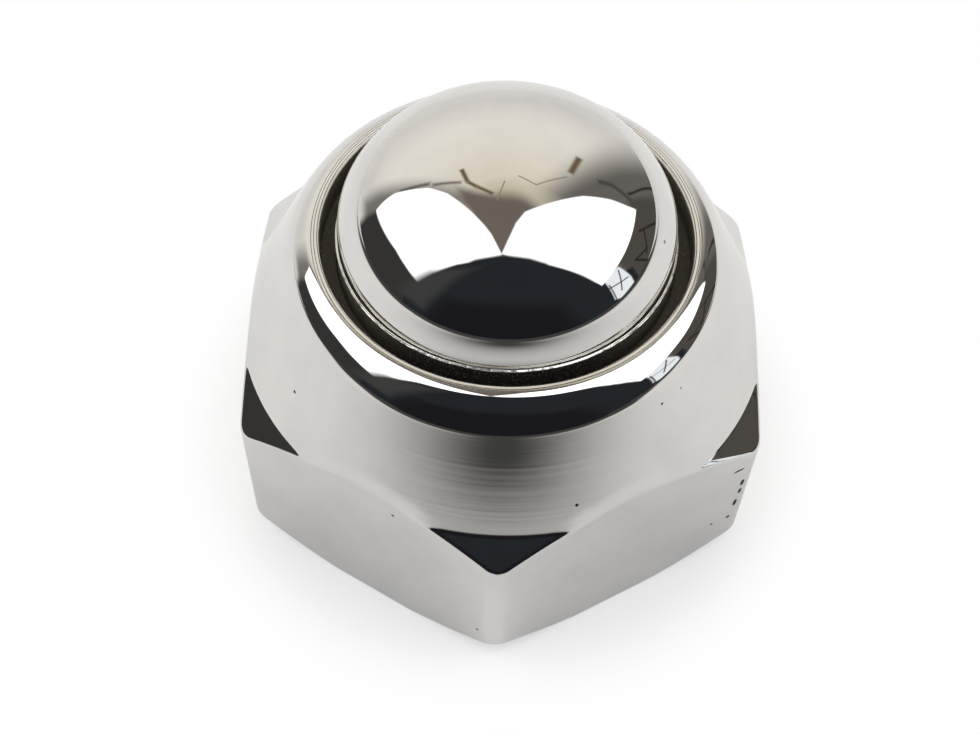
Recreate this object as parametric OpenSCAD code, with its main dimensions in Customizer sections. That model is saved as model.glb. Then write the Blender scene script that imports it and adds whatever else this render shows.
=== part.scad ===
// Closed hub nut: a hexagon nut that rises through a turned cone to a rounded lip,
// with a polished dome cap pressed into the counterbore above the thread.
// Millimetres. +Z points up through the dome and the seating face lies at z = 0.
// One corner of the hexagon points to -Y, so two of the flats face +X and -X.

/* [Hexagon] */
// Width across the flats, for a 34 mm socket
hex_af = 34; // [33:0.5:38]
// Radius of the six polished upright edges
hex_edge_r = 1.5; // [0.8:0.1:2.5]
// Diameter of the flat ring that seats on the hub
foot_d = 34.8; // [31:0.2:35]
// Rise of the bevel that trims the corners at the foot, from the seating face
foot_angle = 38; // [25:1:45]

/* [Shoulder and cone] */
// Diameter of the circle where the corner shoulders meet the cone
shoulder_d = 34.9; // [34.2:0.1:36]
// Height of that circle above the seating face
shoulder_z = 13.65; // [12:0.05:15]
// Fall of the corner shoulders, outwards and below the horizontal
shoulder_angle = 38.7; // [30:0.1:50]

/* [Lip] */
// Height of the lip's crest above the seating face
lip_top_z = 21.65; // [21:0.05:24]
// Diameter of the lip's crest
lip_crest_d = 24.1; // [24:0.05:25.5]
// Radius of the roll from the crest
lip_crest_r = 1.55; // [1:0.05:2]
// Slope from upright where that roll passes into the lip's flank
lip_turn_angle = 62; // [50:1:75]
// Radius of the flank that runs down into the cone
lip_r = 4; // [3:0.1:5]
// Bevel that breaks the lip's inner edge
lip_break = 0.12; // [0.06:0.02:0.3]

/* [Groove] */
// Outer diameter of the groove round the dome
groove_d = 23.8; // [23:0.1:24]
// Depth of the groove below the lip's crest
groove_depth = 2; // [1:0.1:3]

/* [Thread] */
// Nominal diameter of the thread
thread_d = 20; // [18:1:21]
// Pitch of the thread
thread_pitch = 1.5; // [1:0.25:2.5]
// Diameter of the countersink at the mouth of the thread
mouth_d = 21; // [20.4:0.2:25]
// Angle of the countersink's wall from the axis
mouth_angle = 45; // [30:5:60]

/* [Dome cap] */
// Diameter of the counterbore that the cap is pressed into
seat_d = 21.84; // [21.64:0.04:22.8]
// Height of the counterbore's floor above the seating face
seat_z = 16.5; // [14:0.1:18]
// Radial clearance between the cap's plug and the counterbore
seat_clearance = 0.02; // [0.01:0.01:0.1]
// Bevel that leads the plug into the counterbore
plug_lead = 0.6; // [0.2:0.1:1]
// Depth of the ledge round the dome's foot below the lip's crest
ledge_drop = 0.15; // [0.05:0.05:0.9]
// Diameter of the dome's upright side
dome_d = 21.5; // [20.5:0.1:21.5]
// Height of the upright side above the ledge
dome_side_h = 0.65; // [0.2:0.05:2]
// Radius of the turn from the upright side
dome_turn_r = 4.3; // [3.5:0.1:5]
// Slope from upright where that turn passes into the dome's flank
dome_turn_angle = 28; // [15:1:40]
// Radius of the dome's flank
dome_flank_r = 7.2; // [6:0.1:8.5]
// Radius of the dome's crown
dome_crown_r = 15; // [13.5:0.5:24]

/* [Hidden] */
$fn = 144;
// Overrun of cutting shapes past the faces they open
cut = 1;
nickel = [0.78, 0.77, 0.75];
chrome = [0.86, 0.86, 0.87];

// Hexagon
hex_inradius = hex_af / 2;
hex_reach = hex_inradius / cos(30);

// Outline of the turned body: crest, flank and cone follow each other on common tangents
shoulder = [shoulder_d / 2, shoulder_z];
crest = [lip_crest_d / 2, lip_top_z];
crest_centre = crest - [0, lip_crest_r];
lip_turn = crest_centre + lip_crest_r * [cos(lip_turn_angle), sin(lip_turn_angle)];
lip_centre = lip_turn - lip_r * [cos(lip_turn_angle), sin(lip_turn_angle)];
lip_distance = norm(lip_centre - shoulder);
cone_length = sqrt(lip_distance * lip_distance - lip_r * lip_r);
cone_direction = atan2(lip_centre.y - shoulder.y, lip_centre.x - shoulder.x) - asin(lip_r / lip_distance);
cone_top = shoulder + cone_length * [cos(cone_direction), sin(cone_direction)];

// Levels of the openings
bore_r = (thread_d - thread_pitch) / 2;
mouth_h = (mouth_d / 2 - bore_r) / tan(mouth_angle);
groove_z = lip_top_z - groove_depth;

// Outline of the dome cap: side, turn, flank and crown follow each other on common tangents
plug_r = seat_d / 2 - seat_clearance;
ledge_z = lip_top_z - ledge_drop;
turn_centre = [dome_d / 2 - dome_turn_r, ledge_z + dome_side_h];
turn_top = turn_centre + dome_turn_r * [cos(dome_turn_angle), sin(dome_turn_angle)];
flank_centre = turn_top - dome_flank_r * [cos(dome_turn_angle), sin(dome_turn_angle)];
crown_angle = acos(flank_centre.x / (dome_crown_r - dome_flank_r));
flank_top = flank_centre + dome_flank_r * [cos(crown_angle), sin(crown_angle)];
crown_centre = flank_top - dome_crown_r * [cos(crown_angle), sin(crown_angle)];

// Hexagon with its corner to -Y and its six corners rounded
module rounded_hexagon() {
    inner_r = hex_inradius - hex_edge_r;
    corner_r = inner_r / cos(30);
    rotate(30)
        circle(r = corner_r, $fn = 6);
    for (turn = [0, 60, 120])
        rotate(turn)
            square([hex_af, 2 * inner_r * tan(30)], center = true);
    for (turn = [30 : 60 : 330])
        rotate(turn)
            translate([corner_r, 0])
                circle(hex_edge_r);
}

// Half section of the turned blank: foot bevel, shoulder, cone, lip flank and crest
module blank_section() {
    polygon([
        [0, 0],
        [foot_d / 2, 0],
        [hex_reach, (hex_reach - foot_d / 2) * tan(foot_angle)],
        [hex_reach, shoulder_z - (hex_reach - shoulder.x) * tan(shoulder_angle)],
        shoulder,
        cone_top,
        lip_turn,
        crest,
        [0, lip_top_z],
    ]);
    translate(crest_centre)
        circle(lip_crest_r);
    intersection() {
        translate(lip_centre)
            circle(lip_r);
        square([hex_reach, lip_turn.y]);
    }
}

// Half section of the way through the nut: countersink, tapping bore, counterbore and groove
module opening_section() {
    polygon([
        [0, -cut],
        [mouth_d / 2 + cut * tan(mouth_angle), -cut],
        [bore_r, mouth_h],
        [bore_r, seat_z],
        [seat_d / 2, seat_z],
        [seat_d / 2, groove_z],
        [groove_d / 2, groove_z],
        [groove_d / 2, lip_top_z - lip_break],
        [groove_d / 2 + lip_break + cut, lip_top_z + cut],
        [0, lip_top_z + cut],
    ]);
}

// The part of a round outline on the axis' right and above a height
module arc_above(centre, radius, height) {
    intersection() {
        translate(centre)
            circle(radius);
        translate([0, height])
            square(2 * radius);
    }
}

// Half section of the cap: plug, ledge, upright side, turn, flank and crown
module cap_section() {
    polygon([
        [0, seat_z],
        [plug_r - plug_lead, seat_z],
        [plug_r, seat_z + plug_lead],
        [plug_r, ledge_z],
        [dome_d / 2, ledge_z],
        [dome_d / 2, turn_centre.y],
        turn_top,
        flank_top,
        [0, crown_centre.y + dome_crown_r],
    ]);
    arc_above(turn_centre, dome_turn_r, ledge_z);
    arc_above(flank_centre, dome_flank_r, turn_top.y);
    arc_above(crown_centre, dome_crown_r, flank_top.y);
}

module nut_body() {
    color(nickel)
        intersection() {
            rotate_extrude()
                difference() {
                    blank_section();
                    opening_section();
                }
            translate([0, 0, -cut])
                linear_extrude(lip_top_z + 2 * cut)
                    rounded_hexagon();
        }
}

module dome_cap() {
    color(chrome)
        rotate_extrude()
            cap_section();
}

nut_body();
dome_cap();
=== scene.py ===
import logging
import math
from dataclasses import dataclass
from enum import Enum
from typing import Sequence

import bmesh
import bpy
from mathutils import Matrix, Vector


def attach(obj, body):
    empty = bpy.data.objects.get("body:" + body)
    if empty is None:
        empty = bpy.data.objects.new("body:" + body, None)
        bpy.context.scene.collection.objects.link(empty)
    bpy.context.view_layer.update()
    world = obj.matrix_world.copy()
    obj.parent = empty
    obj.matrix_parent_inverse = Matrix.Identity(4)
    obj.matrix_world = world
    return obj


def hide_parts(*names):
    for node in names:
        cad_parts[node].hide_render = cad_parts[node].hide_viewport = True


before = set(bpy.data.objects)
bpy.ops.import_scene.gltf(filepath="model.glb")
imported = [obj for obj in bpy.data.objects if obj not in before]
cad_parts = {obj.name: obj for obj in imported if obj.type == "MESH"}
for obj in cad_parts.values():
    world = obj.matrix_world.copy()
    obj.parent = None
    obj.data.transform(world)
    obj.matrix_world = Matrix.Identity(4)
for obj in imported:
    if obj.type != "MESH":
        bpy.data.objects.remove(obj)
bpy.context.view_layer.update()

MM = 0.001
LOG = logging.getLogger("hub_nut")


# --------------------------------------------------------------------------- shader maths


class Sock:
    """A shader socket whose Python operators add Math nodes to its graph."""

    def __init__(self, graph: "Graph", socket: bpy.types.NodeSocket) -> None:
        """Wraps one output socket of a graph."""
        self.graph = graph
        self.socket = socket

    def maths(self, operation: str, *operands: "Sock | float") -> "Sock":
        """Adds one Math node.

        Args:
            operation: The Math node's operation.
            operands: Its inputs, in order.

        Returns:
            The node's value.
        """
        values = dict(enumerate(operands))
        return self.graph.node("ShaderNodeMath", {"operation": operation}, values).out(0)

    def __add__(self, other: "Sock | float") -> "Sock":
        """self + other."""
        return self.maths("ADD", self, other)

    __radd__ = __add__

    def __sub__(self, other: "Sock | float") -> "Sock":
        """self - other."""
        return self.maths("SUBTRACT", self, other)

    def __rsub__(self, other: "Sock | float") -> "Sock":
        """other - self."""
        return self.maths("SUBTRACT", other, self)

    def __mul__(self, other: "Sock | float") -> "Sock":
        """self * other."""
        return self.maths("MULTIPLY", self, other)

    __rmul__ = __mul__

    def absolute(self) -> "Sock":
        """The value without its sign."""
        return self.maths("ABSOLUTE", self)

    def __pow__(self, other: "Sock | float") -> "Sock":
        """self ** other."""
        return self.maths("POWER", self, other)

    def least(self, other: "Sock | float") -> "Sock":
        """The smaller of two values."""
        return self.maths("MINIMUM", self, other)

    def most(self, other: "Sock | float") -> "Sock":
        """The larger of two values."""
        return self.maths("MAXIMUM", self, other)

    def step(self, low: float, high: float) -> "Sock":
        """A smooth rise from 0 at low to 1 at high, or a fall where high is below low.

        Args:
            low: Value that gives 0.
            high: Value that gives 1.

        Returns:
            The eased value, held between 0 and 1.
        """
        falls = high < low
        ends = (high, low) if falls else (low, high)
        values = {"Value": self, "From Min": ends[0], "From Max": ends[1]}
        eased = self.graph.node("ShaderNodeMapRange", {"interpolation_type": "SMOOTHSTEP"}, values).out(0)
        return 1.0 - eased if falls else eased


class Node:
    """One shader node, with its outputs wrapped."""

    def __init__(self, graph: "Graph", made: bpy.types.Node) -> None:
        """Keeps the node and the graph that it stands in."""
        self.graph = graph
        self.made = made

    def out(self, name: "int | str") -> Sock:
        """The output socket of that name or number."""
        return Sock(self.graph, self.made.outputs[name])


class Graph:
    """A node tree that is built by expressions."""

    def __init__(self, tree: bpy.types.NodeTree) -> None:
        """Empties the tree and keeps it."""
        self.tree = tree
        tree.nodes.clear()

    def node(self, kind: str, settings: "dict | None" = None, values: "dict | None" = None) -> Node:
        """Adds any node.

        Args:
            kind: The node's type.
            settings: Attributes that are set first, with a ramp's stops under "stops".
            values: Constants or sockets for its inputs, by name or number.

        Returns:
            The new node.
        """
        made = self.tree.nodes.new(kind)
        for name, value in (settings or {}).items():
            if name == "stops":
                self._stops(made.color_ramp, value)
            else:
                setattr(made, name, value)
        for name, value in (values or {}).items():
            if isinstance(value, Sock):
                self.tree.links.new(value.socket, made.inputs[name])
            else:
                made.inputs[name].default_value = value
        return Node(self, made)

    @staticmethod
    def _stops(ramp: bpy.types.ColorRamp, stops: Sequence[tuple[float, tuple]]) -> None:
        """Writes a colour ramp's stops."""
        while len(ramp.elements) < len(stops):
            ramp.elements.new(1.0)
        for element, (place, colour) in zip(ramp.elements, stops):
            element.position = place
            element.color = colour

    def blend(self, factor: "Sock | float", first: "Sock | tuple", second: "Sock | tuple") -> Sock:
        """Mixes two colours.

        Args:
            factor: Share of the second colour.
            first: Colour at 0.
            second: Colour at 1.

        Returns:
            The mixed colour.
        """
        values = {0: factor, 6: first, 7: second}
        return self.node("ShaderNodeMix", {"data_type": "RGBA"}, values).out(2)

    def vector(self, operation: str, *operands: "Sock | tuple | float") -> Node:
        """Adds one Vector Math node."""
        return self.node("ShaderNodeVectorMath", {"operation": operation}, dict(enumerate(operands)))


# --------------------------------------------------------------------------- modelling aids


def solo(thing: bpy.types.Object) -> None:
    """Makes one object the only selected and the active one."""
    bpy.ops.object.select_all(action="DESELECT")
    thing.select_set(True)
    bpy.context.view_layer.objects.active = thing


class LatheProfile:
    """A half section drawn point by point and turned about the Z axis, in millimetres."""

    def __init__(self, name: str, radius: float, height: float) -> None:
        """Starts the section at one point.

        Args:
            name: Name of the object that it becomes.
            radius: Distance of the first point from the axis.
            height: Its height.
        """
        bpy.ops.object.select_all(action="DESELECT")
        bpy.ops.mesh.primitive_plane_add(size=MM, location=(0, 0, 0))
        self.piece = bpy.context.object
        self.piece.name = name
        self.piece.data.name = name
        self.place = Vector((radius, 0, height))
        self.points = [(radius, height)]
        bpy.ops.object.mode_set(mode="EDIT")
        bpy.ops.mesh.select_all(action="SELECT")
        bpy.ops.mesh.merge(type="CENTER")
        bpy.ops.transform.translate(value=self.place * MM)

    def line(self, radius: float, height: float, steps: int = 1) -> "LatheProfile":
        """Extrudes a straight run to a point.

        Args:
            radius: Distance of its end from the axis.
            height: Height of its end.
            steps: Number of equal edges.

        Returns:
            The profile itself.
        """
        end = Vector((radius, 0, height))
        stride = (end - self.place) / steps
        start = self.place.copy()
        for count in range(1, steps + 1):
            bpy.ops.mesh.extrude_region_move(TRANSFORM_OT_translate={"value": stride * MM})
            reached = start + stride * count
            self.points.append((reached.x, reached.z))
        self.place = end
        return self

    def arc(self, centre: tuple[float, float], turn: float, steps: int) -> "LatheProfile":
        """Spins the last point about a centre.

        Args:
            centre: The arc's centre, as radius and height.
            turn: Degrees turned, positive from +X towards +Z.
            steps: Number of edges.

        Returns:
            The profile itself.
        """
        hub = Vector((centre[0], 0, centre[1]))
        arm = self.place - hub
        bpy.ops.mesh.spin(
            steps=steps, angle=math.radians(turn), center=hub * MM, axis=(0, 1, 0), use_auto_merge=False
        )
        for count in range(1, steps + 1):
            turned = math.radians(turn * count / steps)
            reached = hub + Matrix.Rotation(-turned, 3, "Y") @ arm
            self.points.append((reached.x, reached.z))
        self.place = reached
        return self

    def turned(self, steps: int) -> bpy.types.Object:
        """Spins the section round the axis and closes its seam and poles.

        Args:
            steps: Number of sides of the full turn.

        Returns:
            The turned object, in object mode.
        """
        bpy.ops.mesh.select_all(action="SELECT")
        bpy.ops.mesh.spin(
            steps=steps, angle=math.tau, center=(0, 0, 0), axis=(0, 0, 1), use_auto_merge=False
        )
        bpy.ops.mesh.select_all(action="SELECT")
        bpy.ops.mesh.remove_doubles(threshold=0.0005 * MM)
        bpy.ops.object.mode_set(mode="OBJECT")
        return self.piece


def next_hub(hub: tuple[float, float], radius: float, following: float, angle: float) -> tuple[float, float]:
    """Centre of the arc that follows another one on a common tangent.

    Args:
        hub: Centre of the first arc.
        radius: Radius of the first arc.
        following: Radius of the arc that follows.
        angle: Degrees above the horizontal of the two arcs' common normal.

    Returns:
        The centre, as radius and height.
    """
    shift = radius - following
    return hub[0] + shift * math.cos(math.radians(angle)), hub[1] + shift * math.sin(math.radians(angle))


def finish_piece(piece: bpy.types.Object, node: str, finish: bpy.types.Material) -> None:
    """Shades a piece, dresses it, hangs it under the root body and hides the solid that it replaces.

    Args:
        piece: The finished mesh object.
        node: The solid that it replaces.
        finish: Its material.
    """
    solo(piece)
    bpy.ops.object.mode_set(mode="EDIT")
    bpy.ops.mesh.select_all(action="SELECT")
    bpy.ops.mesh.normals_make_consistent(inside=False)
    bpy.ops.mesh.select_all(action="DESELECT")
    bpy.ops.object.mode_set(mode="OBJECT")
    bpy.ops.object.shade_smooth()
    piece.data.materials.clear()
    piece.data.materials.append(finish)
    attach(piece, "root")
    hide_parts(node)
    faces = sum(len(face.vertices) - 2 for face in piece.data.polygons)
    LOG.info("%s: %d triangles", piece.name, faces)


# --------------------------------------------------------------------------- the nut's body


@dataclass
class HubNutBody:
    """The hexagon with its turned cone, lip, groove and thread, as one piece. Sizes in millimetres."""

    across_flats: float = 34.0
    corner_radius: float = 1.5
    foot_diameter: float = 34.8
    foot_angle: float = 38.0
    foot_break: float = 0.12
    shoulder_diameter: float = 35.2
    shoulder_height: float = 13.32
    shoulder_angle: float = 38.7
    lip_height: float = 21.65
    crest_diameter: float = 24.1
    crest_radius: float = 1.55
    lip_turn_angle: float = 60.0
    flank_radius: float = 3.32
    flank_turn_angle: float = 33.0
    heel_radius: float = 9.0
    lip_break: float = 0.12
    groove_diameter: float = 23.8
    groove_depth: float = 2.0
    thread_diameter: float = 20.0
    thread_pitch: float = 1.5
    mouth_diameter: float = 21.0
    seat_diameter: float = 21.84
    seat_height: float = 16.5
    sharp_blend: float = 0.2
    soft_blend: float = 0.42
    soft_rise: float = 0.7
    sides: int = 384
    bore_sides: int = 128
    edge_column: int = 20
    edge_share: float = 0.985
    inner_ring: float = 0.6
    outer_ring: float = 2.2
    middle_column: tuple[int, float] = (8, 22.0)
    outer_column: tuple[int, float] = (12, 26.6)
    plain_low: float = 2.2
    plain_top_drop: float = 2.25
    plain_fade: float = 0.8
    gather_reach: float = 1.0
    gather_drop: float = 2.2
    gather_run: float = 4.0
    rim_land: float = 0.7
    thread_depth_share: float = 0.54
    thread_foot: float = 0.875
    thread_flank: float = 0.75
    run_out_drop: float = 0.9
    run_out: float = 1.2
    run_in: float = 0.25
    liner_flare: float = 0.3

    def build(self, finish: bpy.types.Material) -> bpy.types.Object:
        """Turns the blank, mills its flats, cuts the thread and joins them.

        Args:
            finish: The body's material.

        Returns:
            The body.
        """
        skin = self._turn_blank()
        self._mill(skin)
        liner = self._cut_thread()
        body = self._join(skin, liner)
        finish_piece(body, "nut_body", finish)
        return body

    @property
    def inradius(self) -> float:
        """Distance of the flats from the axis."""
        return self.across_flats / 2

    @property
    def reach(self) -> float:
        """Distance of the sharp hexagon's corners from the axis."""
        return self.inradius / math.cos(math.radians(30))

    def hexagon(self, off_flat: float) -> float:
        """Radius of the rounded hexagon.

        Args:
            off_flat: Radians from the middle of the nearest flat.

        Returns:
            Distance of its wall from the axis.
        """
        inner = self.inradius - self.corner_radius
        if math.tan(off_flat) * self.inradius <= inner * math.tan(math.radians(30)):
            return self.inradius / math.cos(off_flat)
        hub = inner / math.cos(math.radians(30))
        away = math.radians(30) - off_flat
        return hub * math.cos(away) + math.sqrt(self.corner_radius**2 - (hub * math.sin(away)) ** 2)

    def edge_angle(self, radius: float) -> float:
        """Radians off a flat's middle at which the hexagon's wall is that far from the axis."""
        low, high = 0.0, math.radians(30)
        for _ in range(40):
            middle = (low + high) / 2
            if self.hexagon(middle) < radius:
                low = middle
            else:
                high = middle
        return low

    def _turn_blank(self) -> bpy.types.Object:
        """Draws the outer half section from the seat up over the lip and down to the seating face.

        Returns:
            The turned blank, open at the counterbore's floor and at the thread's mouth.
        """
        lip = self.lip_height
        wall = self.groove_diameter / 2
        roll_hub = (self.crest_diameter / 2, lip - self.crest_radius)
        flank_hub = next_hub(roll_hub, self.crest_radius, self.flank_radius, self.lip_turn_angle)
        hub = next_hub(flank_hub, self.flank_radius, self.heel_radius, self.flank_turn_angle)
        edge = (self.shoulder_diameter / 2, self.shoulder_height)
        gap = math.hypot(hub[0] - edge[0], hub[1] - edge[1])
        lean = math.atan2(hub[1] - edge[1], hub[0] - edge[0]) - math.asin(self.heel_radius / gap)
        cone_tilt = math.degrees(lean) - 90.0
        foot = self.foot_diameter / 2
        shoulder_drop = (self.reach - edge[0]) * math.tan(math.radians(self.shoulder_angle))
        foot_rise = (self.reach - foot) * math.tan(math.radians(self.foot_angle))
        floor = lip - self.groove_depth
        seat = self.seat_diameter / 2
        profile = LatheProfile("hub_nut_body", seat - 0.9, self.seat_height)
        profile.line(seat - 0.08, self.seat_height, 2).line(seat, self.seat_height + 0.08)
        profile.line(seat, floor - 0.06, 6).line(seat + 0.06, floor)
        profile.line(wall - 0.1, floor, 3).arc((wall - 0.1, floor + 0.1), 90, 3)
        profile.line(wall, lip - self.lip_break - 0.03, 8).line(wall + 0.012, lip - self.lip_break)
        profile.line(wall + self.lip_break - 0.02, lip - 0.014).line(wall + self.lip_break + 0.01, lip)
        profile.line(roll_hub[0], lip).arc(roll_hub, self.lip_turn_angle - 90, 14)
        profile.arc(flank_hub, self.flank_turn_angle - self.lip_turn_angle, 28)
        profile.arc(hub, cone_tilt - self.flank_turn_angle, 10)
        profile.line(*self._along(edge, profile.points[-1], 0.12), 52)
        profile.line(edge[0] + 0.03, edge[1] - 0.01)
        down = (self.reach, edge[1] - shoulder_drop)
        profile.line(*self._along(profile.points[-1], down, 0.12))
        profile.line(*down, 26)
        profile.line(self.reach, foot_rise + 0.2, 12)
        profile.line(self.reach, foot_rise, 2)
        profile.line(foot, self.foot_break, 16)
        profile.line(foot - self.foot_break * 0.35, self.foot_break * 0.35)
        profile.line(foot - self.foot_break, 0.0)
        profile.line(self.mouth_diameter / 2 + self.rim_land, 0.0, 5)
        return profile.turned(self.sides)

    @staticmethod
    def _along(start: tuple[float, float], end: tuple[float, float], step: float) -> tuple[float, float]:
        """The point a step away from start on the way to end."""
        way = math.hypot(end[0] - start[0], end[1] - start[1])
        return tuple(a + (b - a) * step / way for a, b in zip(start, end))

    def _columns(self, radius: float, height: float) -> list[float]:
        """Places a row's columns so that one of them follows the edge of the milled flat.

        Args:
            radius: The blank's radius on this row.
            height: The row's height.

        Returns:
            Radians off the flat's middle, from its middle to the corner.
        """
        half = self.sides // 12
        corner = math.radians(30)
        edge = self.edge_angle(min(max(radius, self.shoulder_diameter / 2), self.reach))
        edge = min(edge, corner * self.edge_share)
        slope = max(math.tan(edge), 0.2) * self.inradius / math.cos(edge)
        ring = self.sharp_blend / slope
        ahead = self.edge_column
        near, far = self.inner_ring * ring, self.outer_ring * ring
        keys = [(0, 0.0), (ahead - 3, edge - far), (ahead - 1, edge - near), (ahead, edge)]
        keys += [(ahead + 1, min(edge + near, corner * 0.99))]
        keys += [(ahead + 3, min(edge + far, corner * 0.995)), (half, corner)]
        marked = [(column, math.radians(angle)) for column, angle in (self.middle_column, self.outer_column)]
        on_flat = [(0, 0.0), *marked, (half, corner)]
        below_top = (self.shoulder_height - self.plain_top_drop - height) / self.plain_fade
        above_low = (height - self.plain_low) / self.plain_fade
        share = min(max(below_top, 0.0), 1.0) * min(max(above_low, 0.0), 1.0)
        return [
            self._between(keys, step) * (1 - share) + self._between(on_flat, step) * share
            for step in range(half + 1)
        ]

    def _gathered(self, radius: float, height: float) -> float:
        """How far the columns of a row have moved from even spacing to the milled edges."""
        if radius < self.groove_diameter / 2 + self.gather_reach:
            return 0.0
        share = min(max((self.lip_height - self.gather_drop - height) / self.gather_run, 0.0), 1.0)
        return share * share * (3 - 2 * share)

    @staticmethod
    def _between(keys: Sequence[tuple[float, float]], at: float) -> float:
        """Reads a broken line at one place."""
        for (x0, y0), (x1, y1) in zip(keys, keys[1:]):
            if at <= x1:
                return y0 + (y1 - y0) * (at - x0) / (x1 - x0)
        return keys[-1][1]

    def _blend(self, height: float) -> float:
        """How softly the flats run into the turned surface at a height."""
        rise = min(max((height - self.shoulder_height) / self.soft_rise, 0.0), 1.0)
        return self.sharp_blend + (self.soft_blend - self.sharp_blend) * rise * rise * (3 - 2 * rise)

    def _mill(self, skin: bpy.types.Object) -> None:
        """Mills the six flats: each point past a flat is drawn in to it, with an eased edge.

        Args:
            skin: The turned blank.
        """
        mouth = self.mouth_diameter / 2 + self.rim_land
        foot = self.foot_diameter / 2 - self.foot_break
        spaced: dict[tuple[float, float], list[float]] = {}
        stride = math.tau / self.sides
        half = self.sides // 12
        for vertex in skin.data.vertices:
            x, y, z = vertex.co / MM
            radius = math.hypot(x, y)
            turn = math.atan2(y, x)
            flat = round(turn / math.radians(60))
            off = turn - flat * math.radians(60)
            column = min(round(abs(off) / stride), half)
            row = (round(radius, 3), round(z, 3))
            if row not in spaced:
                spaced[row] = self._columns(radius, z)
            gathered = 1.0 if z < 0.01 else self._gathered(radius, z)
            off += gathered * (math.copysign(spaced[row][column], off) - off)
            wall = self.hexagon(abs(off))
            if z < self.foot_break * 0.9 and radius < foot + 0.2:
                share = (radius - mouth) / (self.foot_diameter / 2 - mouth)
                radius = mouth + share * (min(wall, self.foot_diameter / 2) - mouth)
            else:
                ease = self._blend(z)
                near = max(ease - abs(radius - wall), 0.0) / ease
                radius = min(radius, wall) - near * near * ease / 4
            turn = flat * math.radians(60) + off
            vertex.co = Vector((radius * math.cos(turn), radius * math.sin(turn), z)) * MM
        LOG.info("milled %d points over %d rows", len(skin.data.vertices), len(spaced))

    def _cut_thread(self) -> bpy.types.Object:
        """Turns the bore as a fine tube and presses the helix of the thread into it.

        Returns:
            The threaded liner, open at both ends.
        """
        mouth = self.mouth_diameter / 2
        minor = (self.thread_diameter - self.thread_pitch) / 2
        depth = self.thread_pitch * self.thread_depth_share
        top = self.seat_height
        profile = LatheProfile("thread_liner", mouth + 0.12, 0.0)
        profile.line(mouth + 0.02, 0.03).line(minor + 0.05, mouth - minor - 0.03, 8)
        profile.line(minor, mouth - minor + 0.1, 1)
        profile.line(minor, top - 0.12, 96).line(minor + 0.08, top, 1).line(minor + self.liner_flare, top, 1)
        liner = profile.turned(self.bore_sides)
        for vertex in liner.data.vertices:
            x, y, z = vertex.co / MM
            radius = math.hypot(x, y)
            phase = (z / self.thread_pitch - math.atan2(y, x) / math.tau) % 1.0
            flank = abs(phase - 0.5) * 2
            cut = min(max((self.thread_foot - flank) / self.thread_flank, 0.0), 1.0)
            below_top = min(max((top - self.run_out_drop - z) / self.run_out, 0.0), 1.0)
            fade = below_top * min(max(z / self.run_in, 0.0), 1.0)
            grown = max(radius, minor + depth * cut * fade) if z < top - 0.05 else radius
            vertex.co *= grown / radius
            vertex.co.z = z * MM
        return liner

    def _join(self, skin: bpy.types.Object, liner: bpy.types.Object) -> bpy.types.Object:
        """Joins the skin and the liner and bridges their two pairs of rims.

        Args:
            skin: The milled outside.
            liner: The threaded bore.

        Returns:
            The closed body.
        """
        solo(skin)
        liner.select_set(True)
        bpy.ops.object.join()
        body = bpy.context.object
        bpy.ops.object.mode_set(mode="EDIT")
        bpy.ops.mesh.select_mode(type="EDGE")
        for level in (0.0, self.seat_height):
            self._select_rims(body, level)
            bpy.ops.mesh.bridge_edge_loops()
        bpy.ops.mesh.select_mode(type="VERT")
        bpy.ops.object.mode_set(mode="OBJECT")
        return body

    @staticmethod
    def _select_rims(body: bpy.types.Object, level: float) -> None:
        """Selects the open edges that lie at one height."""
        bpy.ops.mesh.select_all(action="DESELECT")
        shape = bmesh.from_edit_mesh(body.data)
        for edge in shape.edges:
            flat = all(abs(vertex.co.z / MM - level) < 0.001 for vertex in edge.verts)
            if edge.is_boundary and flat:
                edge.select_set(True)
        bmesh.update_edit_mesh(body.data)


# --------------------------------------------------------------------------- the dome cap


@dataclass
class DomeCap:
    """The turned dome that is pressed into the nut. Sizes in millimetres."""

    lip_height: float = 21.65
    seat_diameter: float = 21.84
    seat_height: float = 16.5
    seat_clearance: float = 0.02
    plug_lead: float = 0.6
    ledge_drop: float = 0.15
    dome_diameter: float = 21.5
    dome_side: float = 0.65
    turn_radius: float = 4.3
    turn_angle: float = 28.0
    flank_radius: float = 7.2
    crown_radius: float = 15.0
    sides: int = 320

    def build(self, finish: bpy.types.Material) -> bpy.types.Object:
        """Draws the cap's half section and turns it.

        Args:
            finish: The cap's material.

        Returns:
            The cap.
        """
        plug = self.seat_diameter / 2 - self.seat_clearance
        ledge = self.lip_height - self.ledge_drop
        side = self.dome_diameter / 2
        turn_hub = (side - self.turn_radius, ledge + self.dome_side)
        flank_hub = next_hub(turn_hub, self.turn_radius, self.flank_radius, self.turn_angle)
        crown_tilt = math.degrees(math.acos(flank_hub[0] / (self.crown_radius - self.flank_radius)))
        crown_hub = next_hub(flank_hub, self.flank_radius, self.crown_radius, crown_tilt)
        profile = LatheProfile("hub_nut_cap", 0.0, self.seat_height)
        profile.line(plug - self.plug_lead, self.seat_height, 4)
        profile.line(plug, self.seat_height + self.plug_lead, 2)
        profile.line(plug, ledge - 0.04, 24).line(plug - 0.012, ledge - 0.012).line(plug - 0.04, ledge)
        profile.line(side + 0.04, ledge).arc((side + 0.04, ledge + 0.04), -90, 3)
        profile.line(side, ledge + self.dome_side, 4)
        profile.arc(turn_hub, self.turn_angle, 20)
        profile.arc(flank_hub, crown_tilt - self.turn_angle, 24)
        profile.arc(crown_hub, 90 - crown_tilt, 34)
        cap = profile.turned(self.sides)
        finish_piece(cap, "dome_cap", finish)
        return cap


# --------------------------------------------------------------------------- finishes


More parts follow.
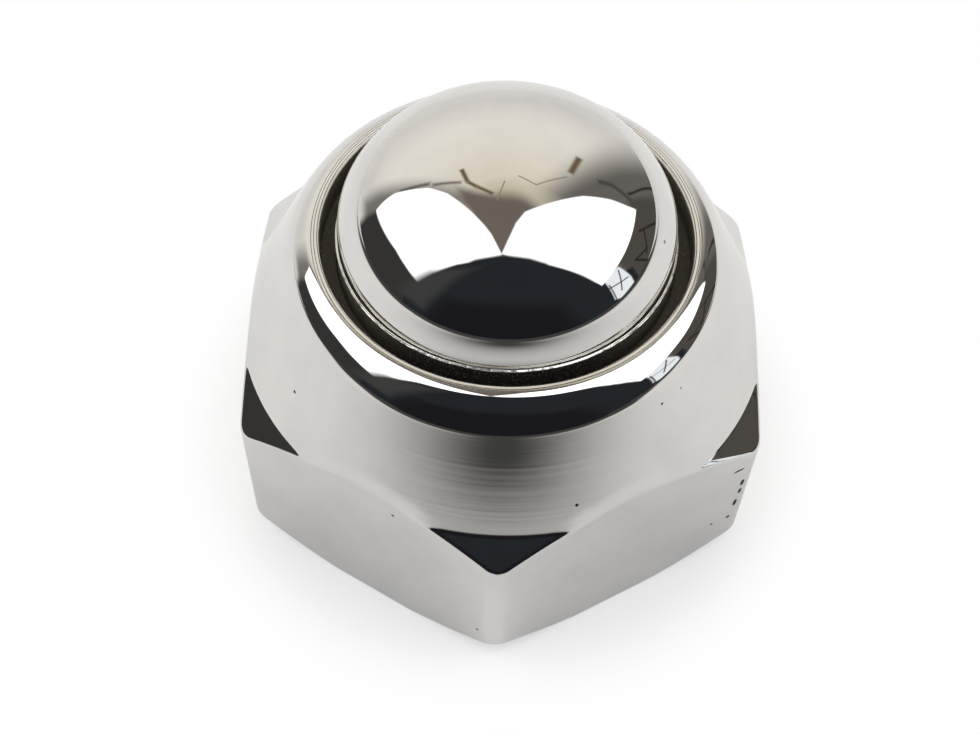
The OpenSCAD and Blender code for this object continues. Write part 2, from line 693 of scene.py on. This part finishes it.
class Blemish(Enum):
    """Kinds of small mark, each with its colour and roughness."""

    PIT = ((0.05, 0.045, 0.04, 1.0), 0.45)
    # Small dark streaks: the metal is darkened and dulled there.
    DARK_STREAK = ((0.02, 0.03, 0.045, 1.0), 0.6)
    STAIN = ((0.34, 0.33, 0.31, 1.0), 0.3)


@dataclass(frozen=True)
class Mark:
    """One small mark on the metal. Lengths in millimetres."""

    kind: Blemish
    place: tuple[float, float, float]
    size: tuple[float, float, float]

    def mask(self, graph: Graph, place: Sock) -> Sock:
        """Builds the mark's mask.

        Args:
            graph: The material's graph.
            place: The position on the piece, in millimetres.

        Returns:
            1 inside the mark and 0 outside it.
        """
        offset = graph.vector("SUBTRACT", place, self.place).out("Vector")
        scaled = graph.vector("DIVIDE", offset, self.size).out("Vector")
        return graph.vector("LENGTH", scaled).out("Value").step(1.15, 0.7)


@dataclass(frozen=True)
class PolishedMetal:
    """Mirror-polished metal with turning rings, wiped haze, pits and dark residue, with painted light that
    makes the groove's residue lighter at its left and right sides. Lengths in millimetres.
    """

    name: str
    colour: tuple[float, float, float, float] = (0.80, 0.79, 0.77, 1.0)
    cast: tuple[float, float, float, float] = (0.745, 0.74, 0.735, 1.0)
    residue: tuple[float, float, float, float] = (0.020, 0.019, 0.014, 1.0)
    # Colour of the residue's dust specks, and of the painted light on the groove's left and right sides.
    residue_dust_and_side_light: tuple[float, float, float, float] = (0.24, 0.21, 0.15, 1.0)
    residue_roughness: float = 0.72
    residue_relief: float = 0.05
    # Painted light on the groove: the residue turns lighter towards its left and right sides, up to this
    # share, between these distances from the middle.
    side_light_share: float = 0.42
    side_light_from: float = 4.0
    side_light_to: float = 9.5
    residue_top: float = 21.46
    residue_low: float = 17.0
    residue_reach: float = 11.93
    fine_lines: tuple[float, ...] = ()
    fine_width: float = 0.028
    fine_top: float = 21.3
    fine_low: float = 21.1
    roughness: float = 0.018
    haze: float = 0.05
    ripple: float = 0.003
    ring: float = 0.0045
    ring_pitch: float = 0.7
    ring_low: float = 13.5
    ring_high: float = 14.6
    marks: tuple[Mark, ...] = ()

    def material(self) -> bpy.types.Material:
        """Builds the material.

        Returns:
            The finished material.
        """
        made = bpy.data.materials.new(self.name)
        made.use_nodes = True
        graph = Graph(made.node_tree)
        coordinates = graph.node("ShaderNodeTexCoord")
        place = graph.vector("MULTIPLY", coordinates.out("Object"), (1000.0, 1000.0, 1000.0)).out("Vector")
        parts = graph.node("ShaderNodeSeparateXYZ", None, {0: place})
        height = parts.out("Z")
        radius = (parts.out("X") ** 2.0 + parts.out("Y") ** 2.0) ** 0.5
        turn = parts.out("Y").maths("ARCTAN2", parts.out("Y"), parts.out("X"))
        cloud = self._noise(graph, place, 0.28, 4.0)
        wipe = self._noise(graph, self._round(graph, radius, height, turn, 0.9), 1.0, 5.0)
        around = self._round(graph, radius, height, turn, 0.12)
        rings = self._noise(graph, around, 1.0 / self.ring_pitch, 2.0)
        colour = graph.blend(cloud.step(0.35, 0.75), self.colour, self.cast)
        rough = self.roughness + self.haze * cloud.step(0.45, 0.8) * wipe.step(0.4, 0.75)
        metal = self._residue(graph, place, radius, height)
        grain = self._noise(graph, place, 7.0, 3.0)
        # Painted light: the groove's residue is lighter at the left and right sides and darkest at the front,
        # where the groove lies in shade.
        side_light = parts.out("X").absolute().step(self.side_light_from, self.side_light_to) * self.side_light_share
        dirt_and_side_light = graph.blend(grain.step(0.52, 0.72).most(side_light), self.residue, self.residue_dust_and_side_light)
        colour = graph.blend(metal, dirt_and_side_light, colour)
        rough = self.residue_roughness * (1.0 - metal) + rough * metal
        for mark in self.marks:
            tint, dullness = mark.kind.value
            inside = mark.mask(graph, place)
            colour = graph.blend(inside, colour, tint)
            rough = rough.most(inside * dullness)
        swell = self._noise(graph, place, 0.16, 1.0)
        turned = height.step(self.ring_low, self.ring_high) * self.ring
        relief = swell * self.ripple + rings * turned + grain * (1.0 - metal) * self.residue_relief
        bump = graph.node(
            "ShaderNodeBump", None, {"Strength": 1.0, "Distance": MM, "Height": relief, **self._facing(graph)}
        )
        shader = graph.node(
            "ShaderNodeBsdfPrincipled",
            None,
            {
                "Base Color": colour,
                "Metallic": metal.step(0.0, 1.0),
                "Roughness": rough,
                "Normal": bump.out("Normal"),
            },
        )
        graph.node("ShaderNodeOutputMaterial", None, {"Surface": shader.out("BSDF")})
        return made

    @staticmethod
    def _noise(graph: Graph, place: Sock, scale: float, detail: float) -> Sock:
        """Adds one noise texture and returns its value."""
        values = {"Vector": place, "Scale": scale, "Detail": detail, "Roughness": 0.55}
        return graph.node("ShaderNodeTexNoise", None, values).out(0)

    @staticmethod
    def _round(graph: Graph, radius: Sock, height: Sock, turn: Sock, along: float) -> Sock:
        """Coordinates that run round the axis, so that a noise in them is drawn out along the turning.

        Args:
            graph: The material's graph.
            radius: Distance from the axis.
            height: Height above the seating face.
            turn: Angle round the axis.
            along: How fast they change round the axis.

        Returns:
            The coordinates.
        """
        values = {"X": radius, "Y": height, "Z": turn * along}
        return graph.node("ShaderNodeCombineXYZ", None, values).out("Vector")

    def _residue(self, graph: Graph, place: Sock, radius: Sock, height: Sock) -> Sock:
        """Where the metal is clean: 0 in the groove's dark residue and on the dark fine rings at the lip's
        inner crest, and 1 elsewhere.

        Args:
            graph: The material's graph.
            place: The position on the piece.
            radius: Distance from the axis.
            height: Height above the seating face.

        Returns:
            The mask.
        """
        uneven = (self._noise(graph, place, 1.6, 3.0) - 0.5) * 0.10
        above = (height + uneven).step(self.residue_top, self.residue_top + 0.05)
        outside = (radius + uneven * 0.4).step(self.residue_reach, self.residue_reach + 0.03)
        clean = above.most(outside).most(height.step(self.residue_low, self.residue_low - 0.1))
        # Dark fine rings round the lip's inner crest, drawn with the residue's colour and roughness.
        for line in self.fine_lines:
            off = (radius + uneven * 0.3 - line).absolute()
            beside = off.step(self.fine_width * 0.4, self.fine_width)
            clean = clean.least(beside.most(height.step(self.fine_top, self.fine_low)))
        return clean

    def _facing(self, graph: Graph) -> dict:
        """The bump's own normal input, which plain metal leaves alone."""
        return {}


@dataclass(frozen=True)
class PolishedCap(PolishedMetal):
    """Mirror-polished metal whose upright foot is eased, so that it faces a little upwards."""

    ease_from: float = 21.35
    ease_to: float = 21.55
    least_rise: float = 0.287
    rise_share: float = 0.38
    foot_from: float = 22.7
    foot_to: float = 21.7
    foot_rise: float = 0.14

    def _facing(self, graph: Graph) -> dict:
        """Leans the normals of the dome's foot up.

        Args:
            graph: The material's graph.

        Returns:
            The bump's normal input.
        """
        coordinates = graph.node("ShaderNodeTexCoord")
        parts = graph.node("ShaderNodeSeparateXYZ", None, {0: coordinates.out("Normal")})
        height = graph.node("ShaderNodeSeparateXYZ", None, {0: coordinates.out("Object")}).out("Z")
        rise = parts.out("Z")
        foot = height.step(self.foot_from * MM, self.foot_to * MM) * self.foot_rise
        eased = rise.most(rise * self.rise_share + self.least_rise + foot)
        share = height.step(self.ease_from * MM, self.ease_to * MM)
        values = {"X": parts.out("X"), "Y": parts.out("Y"), "Z": rise + (eased - rise) * share}
        leaned = graph.node("ShaderNodeCombineXYZ", None, values).out("Vector")
        return {"Normal": graph.vector("NORMALIZE", leaned).out("Vector")}


BODY_MARKS: tuple[Mark, ...] = (
    Mark(Blemish.PIT, (-13.1, -9.4, 16.4), (0.16, 0.16, 0.12)),
    Mark(Blemish.PIT, (9.7, -11.2, 19.0), (0.15, 0.15, 0.12)),
    Mark(Blemish.PIT, (10.9, -10.0, 19.1), (0.12, 0.12, 0.22)),
    Mark(Blemish.PIT, (4.7, -16.1, 15.0), (0.12, 0.12, 0.12)),
    Mark(Blemish.PIT, (-6.6, -15.8, 12.5), (0.12, 0.12, 0.12)),
    Mark(Blemish.PIT, (-1.1, -19.0, 3.1), (0.11, 0.11, 0.11)),
    # From here to the end of the list, small dark marks on the right flat: the metal is only darkened and
    # dulled there.
    Mark(Blemish.DARK_STREAK, (15.7, -10.5, 10.4), (0.5, 0.4, 0.13)),
    Mark(Blemish.DARK_STREAK, (16.3, -10.2, 8.4), (0.16, 0.3, 0.4)),
    Mark(Blemish.DARK_STREAK, (16.3, -10.2, 7.3), (0.14, 0.3, 0.35)),
    Mark(Blemish.DARK_STREAK, (16.2, -10.3, 5.8), (0.16, 0.3, 0.45)),
    Mark(Blemish.DARK_STREAK, (16.0, -10.4, 4.0), (0.14, 0.3, 0.2)),
    Mark(Blemish.PIT, (14.8, -11.1, 4.1), (0.14, 0.14, 0.12)),
)
CAP_MARKS: tuple[Mark, ...] = (Mark(Blemish.STAIN, (9.5, -3.1, 24.6), (0.14, 0.14, 0.14)),)


# --------------------------------------------------------------------------- studio


def heading(azimuth: float, elevation: float) -> Vector:
    """The direction at an azimuth from +X and an elevation above the floor, both in degrees."""
    turn, rise = math.radians(azimuth), math.radians(elevation)
    flat = math.cos(rise)
    return Vector((flat * math.cos(turn), flat * math.sin(turn), math.sin(rise)))


@dataclass(frozen=True)
class Patch:
    """A convex area of the surroundings, by the azimuth and elevation of its corners."""

    colour: tuple[float, float, float]
    corners: tuple[tuple[float, float], ...]
    softness: float = 0.012
    broad: bool = False

    def mask(self, graph: Graph, way: Sock) -> Sock:
        """Builds the area's mask.

        Args:
            graph: The world's graph.
            way: The direction that is looked in.

        Returns:
            1 inside the area and 0 outside it.
        """
        ways = [heading(*corner) for corner in self.corners]
        middle = sum(ways, Vector()).normalized()
        inside = None
        for first, second in zip(ways, ways[1:] + ways[:1]):
            normal = first.cross(second).normalized()
            normal *= math.copysign(1.0, normal.dot(middle))
            depth = graph.vector("DOT_PRODUCT", way, tuple(normal)).out("Value")
            inside = depth if inside is None else inside.least(depth)
        return inside.step(-self.softness, self.softness)


@dataclass(frozen=True)
class Bar:
    """A thin straight bar of the surroundings between two directions."""

    colour: tuple[float, float, float]
    start: tuple[float, float]
    end: tuple[float, float]
    width: float = 0.01
    softness: float = 0.005
    broad: bool = False

    def mask(self, graph: Graph, way: Sock) -> Sock:
        """Builds the bar's mask.

        Args:
            graph: The world's graph.
            way: The direction that is looked in.

        Returns:
            1 on the bar and 0 beside it.
        """
        first, second = heading(*self.start), heading(*self.end)
        normal = first.cross(second).normalized()
        beside = graph.vector("DOT_PRODUCT", way, tuple(normal)).out("Value")
        after = graph.vector("DOT_PRODUCT", way, tuple(normal.cross(first))).out("Value")
        before = graph.vector("DOT_PRODUCT", way, tuple(second.cross(normal))).out("Value")
        inside = (self.width - beside.absolute()).least(after).least(before)
        return inside.step(-self.softness, self.softness)


PLAIN_WHITE = (1.0, 1.0, 1.0, 1.0)
WHITE_LIGHT = (2.1, 2.1, 2.12)
WEDGE = (0.18, 0.152, 0.128)
RIGHT_DIM = (0.150, 0.138, 0.125)
LEFT_DIM = (0.215, 0.205, 0.195)
LEFT_SHADE = (0.042, 0.041, 0.040)
RIGHT_SHADE = (0.085, 0.078, 0.068)
FRONT_SHADE = (0.021, 0.024, 0.029)
FRONT_LOW = (0.013, 0.012, 0.015)
FRONT_SIDE = (0.056, 0.058, 0.056)
SKY = (1.0, 1.05, 1.1)
TRUSS = (0.022, 0.022, 0.022)
BEAM = (0.17, 0.12, 0.075)
# Soft dark streaks of shade in the surroundings, painted by direction and seen in the reflections.
SHADE_STREAK = (0.07, 0.066, 0.06)
THIN_LINE = (0.30, 0.26, 0.20)

ROOM_STOPS = (
    (0.0, (0.78, 0.76, 0.73, 1.0)),
    (0.12, (0.76, 0.73, 0.70, 1.0)),
    (0.44, (0.92, 0.89, 0.81, 1.0)),
    (0.66, (0.90, 0.87, 0.78, 1.0)),
    (0.81, (0.88, 0.83, 0.72, 1.0)),
    (0.89, (0.82, 0.77, 0.63, 1.0)),
    (0.94, (0.66, 0.60, 0.47, 1.0)),
    (0.975, (*WEDGE, 1.0)),
)

SURROUNDINGS: tuple["Patch | Bar", ...] = (
    Patch(RIGHT_DIM, ((52, -20), (53, 20), (50, 62), (10, 70), (-20, 50), (-20, -20)), 0.17, True),
    Patch(LEFT_DIM, ((150, 4), (144, 30), (140, 50), (134, 64), (170, 70), (178, 40), (178, 4)), 0.10),
    Patch(WEDGE, ((135, 60), (121, 70), (100, 76), (-95, 74), (-150, 80), (160, 70)), 0.05),
    Patch(WEDGE, ((38, 74), (62, 75.5), (84, 77), (-95, 74), (-20, 80), (20, 72)), 0.05),
    Bar(BEAM, (121, 52), (125, 60), 0.016, 0.012),
    Bar(BEAM, (125, 60), (122, 65), 0.015, 0.012),
    Bar(BEAM, (122, 65), (111, 72), 0.014, 0.012),
    Bar(BEAM, (57, 36), (52, 47), 0.022, 0.016),
    Bar(THIN_LINE, (93, 66), (109, 76), 0.005, 0.005),
    Bar(THIN_LINE, (81, 62.5), (62, 64), 0.005, 0.005),
    Bar(THIN_LINE, (62, 64), (51, 50), 0.005, 0.005),
    # Painted soft shade in the surroundings, along the light panels' edges.
    Bar(SHADE_STREAK, (147, 34), (140, 46), 0.012, 0.02),
    Bar(SHADE_STREAK, (140, 48), (129, 58), 0.010, 0.02),
    Bar(SHADE_STREAK, (42, 38), (39, 32), 0.016, 0.02),
    Bar(SHADE_STREAK, (39, 32), (30, 24), 0.016, 0.02),
    Patch(LEFT_SHADE, ((159, -14), (158, 24), (-140, 30), (-140, -14)), 0.05),
    Patch(RIGHT_SHADE, ((37, -14), (32, 27), (-8, 30), (-8, -14)), 0.04),
    Patch(FRONT_SHADE, ((-152, -14), (-151, 24), (-80, 30), (-80, -14)), 0.02),
    Patch(FRONT_SHADE, ((-100, -14), (-100, 30), (-24, 26), (-4, 10), (-4, -14)), 0.02),
    Patch(SKY, ((-23, 24), (-10, 22), (-8, 6), (-8, 0), (-19, -1), (-23, 2)), 0.012),
    Bar(TRUSS, (-11.5, 20), (-17, 4), 0.008, 0.008),
    Bar(TRUSS, (-25, 15), (-9.5, 8), 0.008, 0.008),
    Bar(TRUSS, (-22, 17), (-22, 1), 0.007, 0.008),
    Bar(TRUSS, (18, 13), (8, 2.5), 0.010, 0.01),
    Bar(TRUSS, (15, 17), (27, -4), 0.010, 0.01),
    Bar(TRUSS, (9, -7), (0, 11), 0.010, 0.01),
    Bar(TRUSS, (0, 11), (11, 4), 0.010, 0.01),
    Bar(TRUSS, (35, 26), (41, -6), 0.010, 0.012),
    Patch(
        WHITE_LIGHT,
        (
            (157.5, 18.0), (148, 32), (143, 47), (143, 57), (147, 65), (154, 72), (178, 79.5),
            (-150, 81.5), (-99, 75.3), (-150, 20), (-176, 20),
        ),
        broad=True,
    ),
    Patch(
        WHITE_LIGHT,
        (
            (26.4, 21.4), (31, 37), (34.5, 50), (43, 79), (20, 85.5), (-98, 75.9), (-56, 67),
            (-25.5, 21), (0, 23.5),
        ),
        broad=True,
    ),
    Patch(
        LEFT_SHADE,
        ((-149, 24), (-163, 26.5), (-175, 27), (160, 18.5), (160, 6), (-149, 6)),
        0.02,
    ),
    Patch(
        FRONT_SHADE,
        (
            (-150, 8), (-149, 24), (-145, 48), (-142, 58), (-133, 68), (-106, 74.6), (-80, 75),
            (-53, 71), (-33, 58), (-28, 39), (-26, 21), (-24, 8),
        ),
        0.02,
        True,
    ),
    Patch(FRONT_SIDE, ((-156, 6), (-150, 40), (-128, 60), (-134, 30), (-138, 6)), 0.08),
    Patch(FRONT_LOW, ((-140, -14), (-128, 26), (-90, 34), (-55, 26), (-42, -14)), 0.12),
)


@dataclass
class Studio:
    """The pale floor and the soft light round the nut. Lengths in metres."""

    floor_size: float = 3.0
    paper: tuple[float, float, float, float] = (0.88, 0.88, 0.88, 1.0)
    # Tone of the dark table beyond the paper, also the dark end of the painted shadow in front of the nut.
    table: tuple[float, float, float, float] = (0.06, 0.06, 0.058, 1.0)
    # Painted shadow on the floor in front of the nut, seen only in reflections: its middle and the reach of
    # its soft edge, in metres.
    shadow_middle: tuple[float, float, float] = (0.005, -0.25, 0.0)
    shadow_inner: float = 0.01
    shadow_outer: float = 0.28
    paper_far: tuple[float, float, float, float] = (0.80, 0.79, 0.77, 1.0)
    far_inner: float = 0.08
    far_outer: float = 0.45
    table_inner: float = 0.28
    table_outer: float = 0.42
    table_from: float = 0.22
    table_to: float = 0.12
    white_near: float = 0.5
    near_edge: float = 0.0175
    white_edge: float = 0.025

    def build(self) -> None:
        """Makes the floor and the surrounding light."""
        self._floor()
        self._world()

    def _floor(self) -> None:
        """Lays the floor. A shadow in front of the nut is painted into its colour, which reflections see and
        the camera doesn't; the paper is darker away from the nut and gives way to a dark table in front.
        """
        bpy.ops.object.select_all(action="DESELECT")
        bpy.ops.mesh.primitive_grid_add(x_subdivisions=8, y_subdivisions=8, size=self.floor_size)
        floor = bpy.context.object
        floor.name = "floor"
        paper = bpy.data.materials.new("paper")
        paper.use_nodes = True
        graph = Graph(paper.node_tree)
        place = graph.node("ShaderNodeTexCoord").out("Object")
        # Painted shadow: the paper is darkened towards the table's tone in a soft patch in front of the nut.
        shifted = graph.vector("SUBTRACT", place, self.shadow_middle).out("Vector")
        offset = graph.node("ShaderNodeSeparateXYZ", None, {0: shifted})
        ahead = offset.out("Y").most(0.0)
        shadow = ((offset.out("X") ** 2.0 + ahead**2.0) ** 0.5).step(self.shadow_outer, self.shadow_inner)
        away = graph.vector("LENGTH", place).out("Value")
        depth = graph.node("ShaderNodeSeparateXYZ", None, {0: place}).out("Y")
        table = away.step(self.table_inner, self.table_outer) * depth.step(self.table_from, self.table_to)
        seen = graph.node("ShaderNodeLightPath").out("Is Camera Ray")
        paper_tone = graph.blend(away.step(self.far_inner, self.far_outer), self.paper, self.paper_far)
        ground = graph.blend(shadow.most(table), paper_tone, self.table)
        ground = graph.blend(seen, ground, PLAIN_WHITE)
        matt = graph.node("ShaderNodeBsdfDiffuse", None, {"Color": ground})
        white = graph.node("ShaderNodeEmission", None, {"Color": PLAIN_WHITE, "Strength": 1.0})
        share = self.white_near + (1.0 - self.white_near) * away.step(self.near_edge, self.white_edge)
        shown = graph.node("ShaderNodeMixShader", None, {0: seen * share, 1: matt.out(0), 2: white.out(0)})
        graph.node("ShaderNodeOutputMaterial", None, {"Surface": shown.out(0)})
        floor.data.materials.append(paper)

    def _world(self) -> None:
        """Paints the surroundings by direction, with a white background for the camera."""
        world = bpy.data.worlds.new("studio")
        bpy.context.scene.world = world
        world.use_nodes = True
        graph = Graph(world.node_tree)
        way = graph.node("ShaderNodeTexCoord").out("Generated")
        height = graph.node("ShaderNodeSeparateXYZ", None, {0: way}).out("Z")
        plain = graph.node("ShaderNodeValToRGB", {"stops": ROOM_STOPS}, {"Fac": height}).out("Color")
        rough = self._painted(graph, way, plain, [area for area in SURROUNDINGS if area.broad])
        fine = self._painted(graph, way, plain, list(SURROUNDINGS))
        path = graph.node("ShaderNodeLightPath")
        rough = graph.blend(path.out("Is Camera Ray"), rough, PLAIN_WHITE)
        soft = graph.node("ShaderNodeBackground", None, {"Color": rough, "Strength": 1.0})
        sharp = graph.node("ShaderNodeBackground", None, {"Color": fine, "Strength": 1.0})
        light = graph.node(
            "ShaderNodeMixShader", None, {0: path.out("Is Glossy Ray"), 1: soft.out(0), 2: sharp.out(0)}
        )
        graph.node("ShaderNodeOutputWorld", None, {"Surface": light.out(0)})

    @staticmethod
    def _painted(graph: Graph, way: Sock, colour: Sock, areas: Sequence["Patch | Bar"]) -> Sock:
        """Paints areas over a colour, one after another.

        Args:
            graph: The world's graph.
            way: The direction that is looked in.
            colour: The colour under them.
            areas: The areas, the topmost last.

        Returns:
            The painted colour.
        """
        for area in areas:
            colour = graph.blend(area.mask(graph, way), colour, (*area.colour, 1.0))
        return colour


@dataclass
class StudioCamera:
    """The camera above the nut's front corner. Lengths in millimetres, angles in degrees."""

    place: tuple[float, float, float] = (-1.684, -60.517, 93.508)
    elevation: float = 54.75
    azimuth: float = 0.47
    roll: float = -1.34
    lens: float = 54.167
    shift: tuple[float, float] = (0.0208, -0.01425)

    def build(self) -> bpy.types.Object:
        """Adds the camera and makes it the scene's.

        Returns:
            The camera.
        """
        bpy.ops.object.select_all(action="DESELECT")
        bpy.ops.object.camera_add(location=Vector(self.place) * MM)
        camera = bpy.context.object
        rise = math.radians(self.elevation)
        swing = Matrix.Rotation(math.radians(self.azimuth), 3, "Z")
        forward = swing @ Vector((0.0, math.cos(rise), -math.sin(rise)))
        right = swing @ Vector((1.0, 0.0, 0.0))
        above = right.cross(forward)
        tip = math.radians(self.roll)
        across = right * math.cos(tip) - above * math.sin(tip)
        upward = right * math.sin(tip) + above * math.cos(tip)
        facing = Matrix((across, upward, -forward)).transposed()
        camera.rotation_euler = facing.to_euler()
        camera.data.lens = self.lens
        camera.data.sensor_width = 36.0
        camera.data.shift_x, camera.data.shift_y = self.shift
        camera.data.clip_start, camera.data.clip_end = 0.005, 20.0
        bpy.context.scene.camera = camera
        return camera


def main() -> None:
    """Builds the nut, the studio and the camera in order."""
    logging.basicConfig(level=logging.INFO, format="%(name)s: %(message)s")
    bpy.context.scene.view_settings.view_transform = "Standard"
    body_finish = PolishedMetal("polished_body", fine_lines=(12.04, 12.24, 12.42), marks=BODY_MARKS)
    cap_finish = PolishedCap("polished_cap", ring=0.0001, marks=CAP_MARKS)
    HubNutBody().build(body_finish.material())
    DomeCap().build(cap_finish.material())
    Studio().build()
    StudioCamera().build()


if __name__ == "__main__":
    main()
